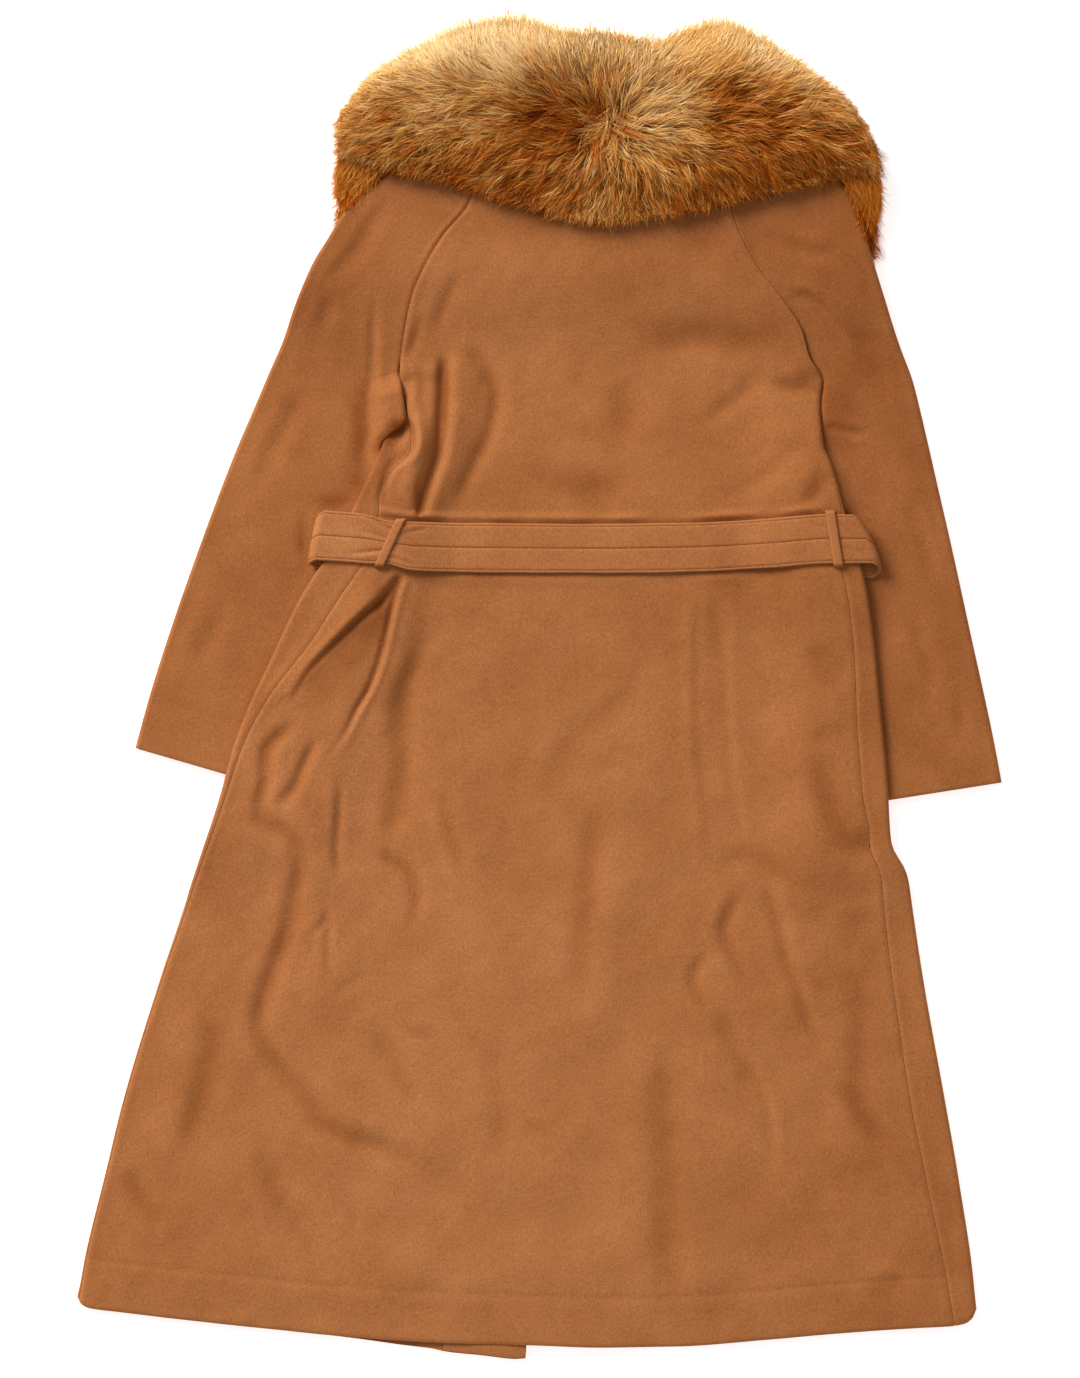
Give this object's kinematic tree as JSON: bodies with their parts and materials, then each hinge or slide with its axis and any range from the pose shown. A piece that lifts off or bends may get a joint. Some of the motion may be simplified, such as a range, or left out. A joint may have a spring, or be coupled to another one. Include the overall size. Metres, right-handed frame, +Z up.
{
  "type": "overcoat",
  "caption": "Long belted wool overcoat with raglan sleeves and a wide round fur collar, laid flat face down with its back on top.",
  "frame": {"origin": "bottom centre of the bounding box, on the surface that the coat lies on", "axes": "+Y along the coat from hem to collar, +X towards the wearer's right sleeve, +Z up from the surface, out of the back of the coat"},
  "size_m": [0.8846, 1.2854, 0.0675],
  "materials": {
    "camel_wool": "napped melton",
    "belt_wool": "napped melton, edge stitched",
    "fox_fur": "long soft hair"
  },
  "bodies": {
    "root": {"back": "camel_wool", "left_front": "camel_wool", "right_front": "camel_wool", "left_front_facing": "camel_wool", "left_sleeve_back": "camel_wool", "left_sleeve_front": "camel_wool", "right_sleeve_back": "camel_wool", "right_sleeve_front": "camel_wool", "fur_collar": "fox_fur", "belt": "belt_wool", "belt_loop_left": "belt_wool", "belt_loop_right": "belt_wool"}
  },
  "joints": []
}
